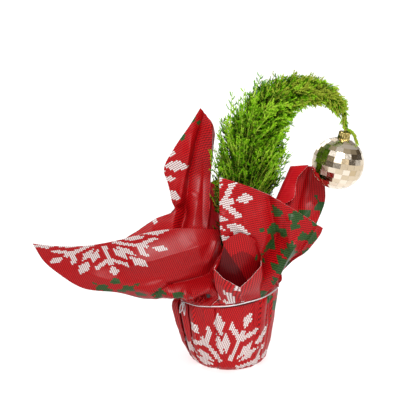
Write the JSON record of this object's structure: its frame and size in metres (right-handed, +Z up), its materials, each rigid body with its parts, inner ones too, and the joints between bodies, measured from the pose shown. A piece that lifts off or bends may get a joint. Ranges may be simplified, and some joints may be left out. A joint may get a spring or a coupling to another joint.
{
  "type": "potted cypress",
  "caption": "Young potted conifer whose slim top arches over under a mirrored ball, its nursery pot wrapped in printed film that is tied near the rim and flares out.",
  "frame": {"origin": "centre of the wrapped pot's flat underside", "axes": "+X towards the bent top and its ball, -Y the front of the wrap, +Z up"},
  "size_m": [0.3717, 0.1786, 0.3416],
  "materials": {
    "bark": "rough bark",
    "foliage": "soft green needles",
    "printed_film": "glossy film printed as red knitting",
    "pot_plastic": "moulded satin",
    "compost": "loose and moist",
    "silver_elastic": "braided elastic",
    "champagne_mirror": "mirrored flat facets",
    "gold_cap": "plated, polished"
  },
  "bodies": {
    "root": {"trunk": "bark", "leader_arch": "bark", "leader_tip": "bark", "bough_1_1": "bark", "foliage_1_1": "foliage", "bough_1_2": "bark", "foliage_1_2": "foliage", "bough_2_1": "bark", "foliage_2_1": "foliage", "bough_2_2": "bark", "foliage_2_2": "foliage", "bough_2_3": "bark", "foliage_2_3": "foliage", "bough_3_1": "bark", "foliage_3_1": "foliage", "bough_3_2": "bark", "foliage_3_2": "foliage", "bough_3_3": "bark", "foliage_3_3": "foliage", "foliage_4_1": "foliage", "foliage_4_2": "foliage", "foliage_4_3": "foliage", "foliage_5_1": "foliage", "foliage_5_2": "foliage", "foliage_6_1": "foliage", "foliage_6_2": "foliage", "foliage_7_1": "foliage", "foliage_7_2": "foliage", "foliage_8_1": "foliage", "foliage_8_2": "foliage", "foliage_8_3": "foliage", "pot": "pot_plastic", "compost": "compost", "wrap_cup": "printed_film", "wrap_wing": "printed_film", "wrap_front": "printed_film", "wrap_tall": "printed_film", "wrap_rolled": "printed_film", "wrap_back": "printed_film", "wrap_left": "printed_film", "wrap_pocket": "printed_film", "tie_cord": "silver_elastic", "tie_knot": "silver_elastic", "tie_loop_left": "silver_elastic", "tie_loop_right": "silver_elastic", "bauble": "champagne_mirror", "bauble_cap": "gold_cap", "bauble_loop": "gold_cap"}
  },
  "joints": []
}
